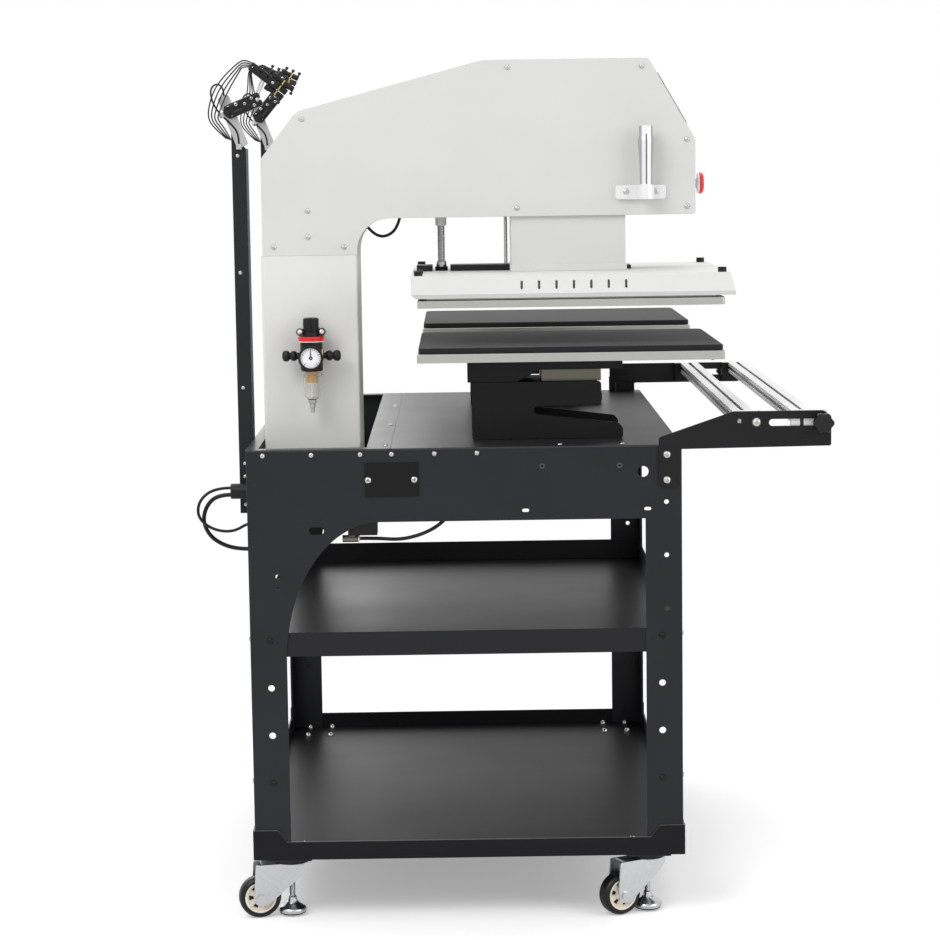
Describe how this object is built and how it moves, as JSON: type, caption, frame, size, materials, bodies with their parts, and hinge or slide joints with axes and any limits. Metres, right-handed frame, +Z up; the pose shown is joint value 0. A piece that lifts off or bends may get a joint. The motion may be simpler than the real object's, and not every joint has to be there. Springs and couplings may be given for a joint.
{
  "type": "dual station heat press",
  "caption": "Pneumatic heat press on a wheeled stand: a C-shaped arm carries the heated plate along a slot between two padded platens, with clamping rails in front.",
  "frame": {"origin": "centre of the footprint at the floor, cables left out", "axes": "+X to the operator at the front, +Y along the two stations, +Z up"},
  "size_m": [1.0553, 1.0586, 1.4462],
  "materials": {
    "stand_black": "satin",
    "table_grey": "satin",
    "body_grey": "satin",
    "cover_white": "satin",
    "machined": "brushed",
    "steel": "satin",
    "zinc": "polished",
    "pad": "matte",
    "tyre": "matte",
    "black_plastic": "matte",
    "black_gloss": "gloss",
    "stop_red": "gloss",
    "bowl": "clear",
    "cable": "matte",
    "needle": "matte"
  },
  "bodies": {
    "stand": {"side_panel_near": "stand_black", "side_panel_far": "stand_black", "apron_panels": "stand_black", "table_top": "table_grey", "slot_surround": "table_grey", "upper_shelf": "stand_black", "lower_tray": "stand_black", "slide_bed": "stand_black", "linear_rails": "steel", "shuttle_cylinder": "steel", "pedestals": "stand_black", "platen_brackets": "stand_black", "platens": "machined", "pads": "pad", "rail_brackets": "stand_black", "inner_rail": "machined", "caster_plates": "stand_black", "laser_posts": "stand_black", "laser_top_plates": "machined", "rear_gland": "stand_black", "rear_cable_upper": "cable", "rear_cable_lower": "cable", "air_hose": "cable", "laser_wire_near": "cable", "laser_wire_far": "cable", "stand_screws": "steel"},
    "shuttle": {"carriage": "machined", "column": "body_grey", "arm_frame": "body_grey", "arm_side_covers": "body_grey", "arm_cable": "cable", "press_cylinder": "machined", "filter_body": "machined", "filter_bowl": "bowl", "pressure_gauge": "black_gloss", "front_panel": "black_gloss", "tube_holder": "machined", "shuttle_screws": "steel"},
    "head": {"head_box": "body_grey", "head_cover": "cover_white", "heat_plate": "machined", "conduit": "steel", "head_fittings": "black_plastic"},
    "stop_button": {"estop_button": "stop_red"},
    "pressure_knob": {"regulator_knob": "black_plastic"},
    "needle": {"gauge_needle": "needle"},
    "sliding_rail": {"outer_rail": "machined"},
    "near_knob": {"knob_near": "black_plastic"},
    "far_knob": {"knob_far": "black_plastic"},
    "near_laser": {"laser_head_near": "black_plastic"},
    "far_laser": {"laser_head_far": "black_plastic"},
    "fork_rear_near": {"fork_rear_near": "zinc"},
    "wheel_rear_near": {"wheel_rear_near": "tyre"},
    "fork_front_near": {"fork_front_near": "zinc"},
    "wheel_front_near": {"wheel_front_near": "tyre"},
    "fork_rear_far": {"fork_rear_far": "zinc"},
    "wheel_rear_far": {"wheel_rear_far": "tyre"},
    "fork_front_far": {"fork_front_far": "zinc"},
    "wheel_front_far": {"wheel_front_far": "tyre"},
    "feet": {"levelling_feet": "steel"}
  },
  "joints": [
    {"name": "shuttle_slide", "type": "slide", "parent": "stand", "child": "shuttle", "axis": [0, 1, 0], "range_m": [0, 0.64]},
    {"name": "head_press", "type": "slide", "parent": "shuttle", "child": "head", "axis": [0, 0, -1], "range_m": [0, 0.0647]},
    {"name": "stop_press", "type": "slide", "parent": "shuttle", "child": "stop_button", "axis": [-1, 0, 0], "range_m": [0, 0.004], "stiffness_N_per_m": 1500},
    {"name": "pressure_turn", "type": "hinge", "parent": "shuttle", "child": "pressure_knob", "pos_m": [-0.3495, -0.43, 0.99], "axis": [0, 0, 1], "range_deg": [-720, 720]},
    {"name": "needle_turn", "type": "hinge", "parent": "shuttle", "child": "needle", "pos_m": [-0.3495, -0.457, 0.941], "axis": [0, 1, 0], "range_deg": [-120, 120]},
    {"name": "rail_slide", "type": "slide", "parent": "stand", "child": "sliding_rail", "axis": [1, 0, 0], "range_m": [-0.045, 0]},
    {"name": "near_knob_turn", "type": "hinge", "parent": "sliding_rail", "child": "near_knob", "pos_m": [0.486, -0.515, 0.8285], "axis": [0, 1, 0], "continuous": true},
    {"name": "far_knob_turn", "type": "hinge", "parent": "sliding_rail", "child": "far_knob", "pos_m": [0.4315, 0.515, 0.8285], "axis": [0, 1, 0], "continuous": true},
    {"name": "swivel_rear_near", "type": "hinge", "parent": "stand", "child": "fork_rear_near", "pos_m": [-0.4, -0.452, 0.09], "axis": [0, 0, 1], "continuous": true},
    {"name": "roll_rear_near", "type": "hinge", "parent": "fork_rear_near", "child": "wheel_rear_near", "pos_m": [-0.4538, -0.46343, 0.0355], "axis": [0.2079, -0.9781, 0], "continuous": true},
    {"name": "swivel_front_near", "type": "hinge", "parent": "stand", "child": "fork_front_near", "pos_m": [0.2, -0.452, 0.09], "axis": [0, 0, 1], "continuous": true},
    {"name": "roll_front_near", "type": "hinge", "parent": "fork_front_near", "child": "wheel_front_near", "pos_m": [0.15144, -0.47782, 0.0355], "axis": [0.4695, -0.8829, 0], "continuous": true},
    {"name": "swivel_rear_far", "type": "hinge", "parent": "stand", "child": "fork_rear_far", "pos_m": [-0.4, 0.452, 0.09], "axis": [0, 0, 1], "continuous": true},
    {"name": "roll_rear_far", "type": "hinge", "parent": "fork_rear_far", "child": "wheel_rear_far", "pos_m": [-0.45231, 0.469, 0.0355], "axis": [-0.309, -0.9511, 0], "continuous": true},
    {"name": "swivel_front_far", "type": "hinge", "parent": "stand", "child": "fork_front_far", "pos_m": [0.2, 0.452, 0.09], "axis": [0, 0, 1], "continuous": true},
    {"name": "roll_front_far", "type": "hinge", "parent": "fork_front_far", "child": "wheel_front_far", "pos_m": [0.14553, 0.45965, 0.0355], "axis": [-0.1392, -0.9903, 0], "continuous": true},
    {"name": "feet_down", "type": "slide", "parent": "stand", "child": "feet", "axis": [0, 0, -1], "range_m": [0, 0.012]},
    {"name": "near_laser_tilt", "type": "hinge", "parent": "stand", "child": "near_laser", "pos_m": [-0.482, -0.3483, 1.346], "axis": [0, 1, 0], "range_deg": [-15, 15]},
    {"name": "far_laser_tilt", "type": "hinge", "parent": "stand", "child": "far_laser", "pos_m": [-0.482, 0.2917, 1.346], "axis": [0, 1, 0], "range_deg": [-15, 15]}
  ]
}
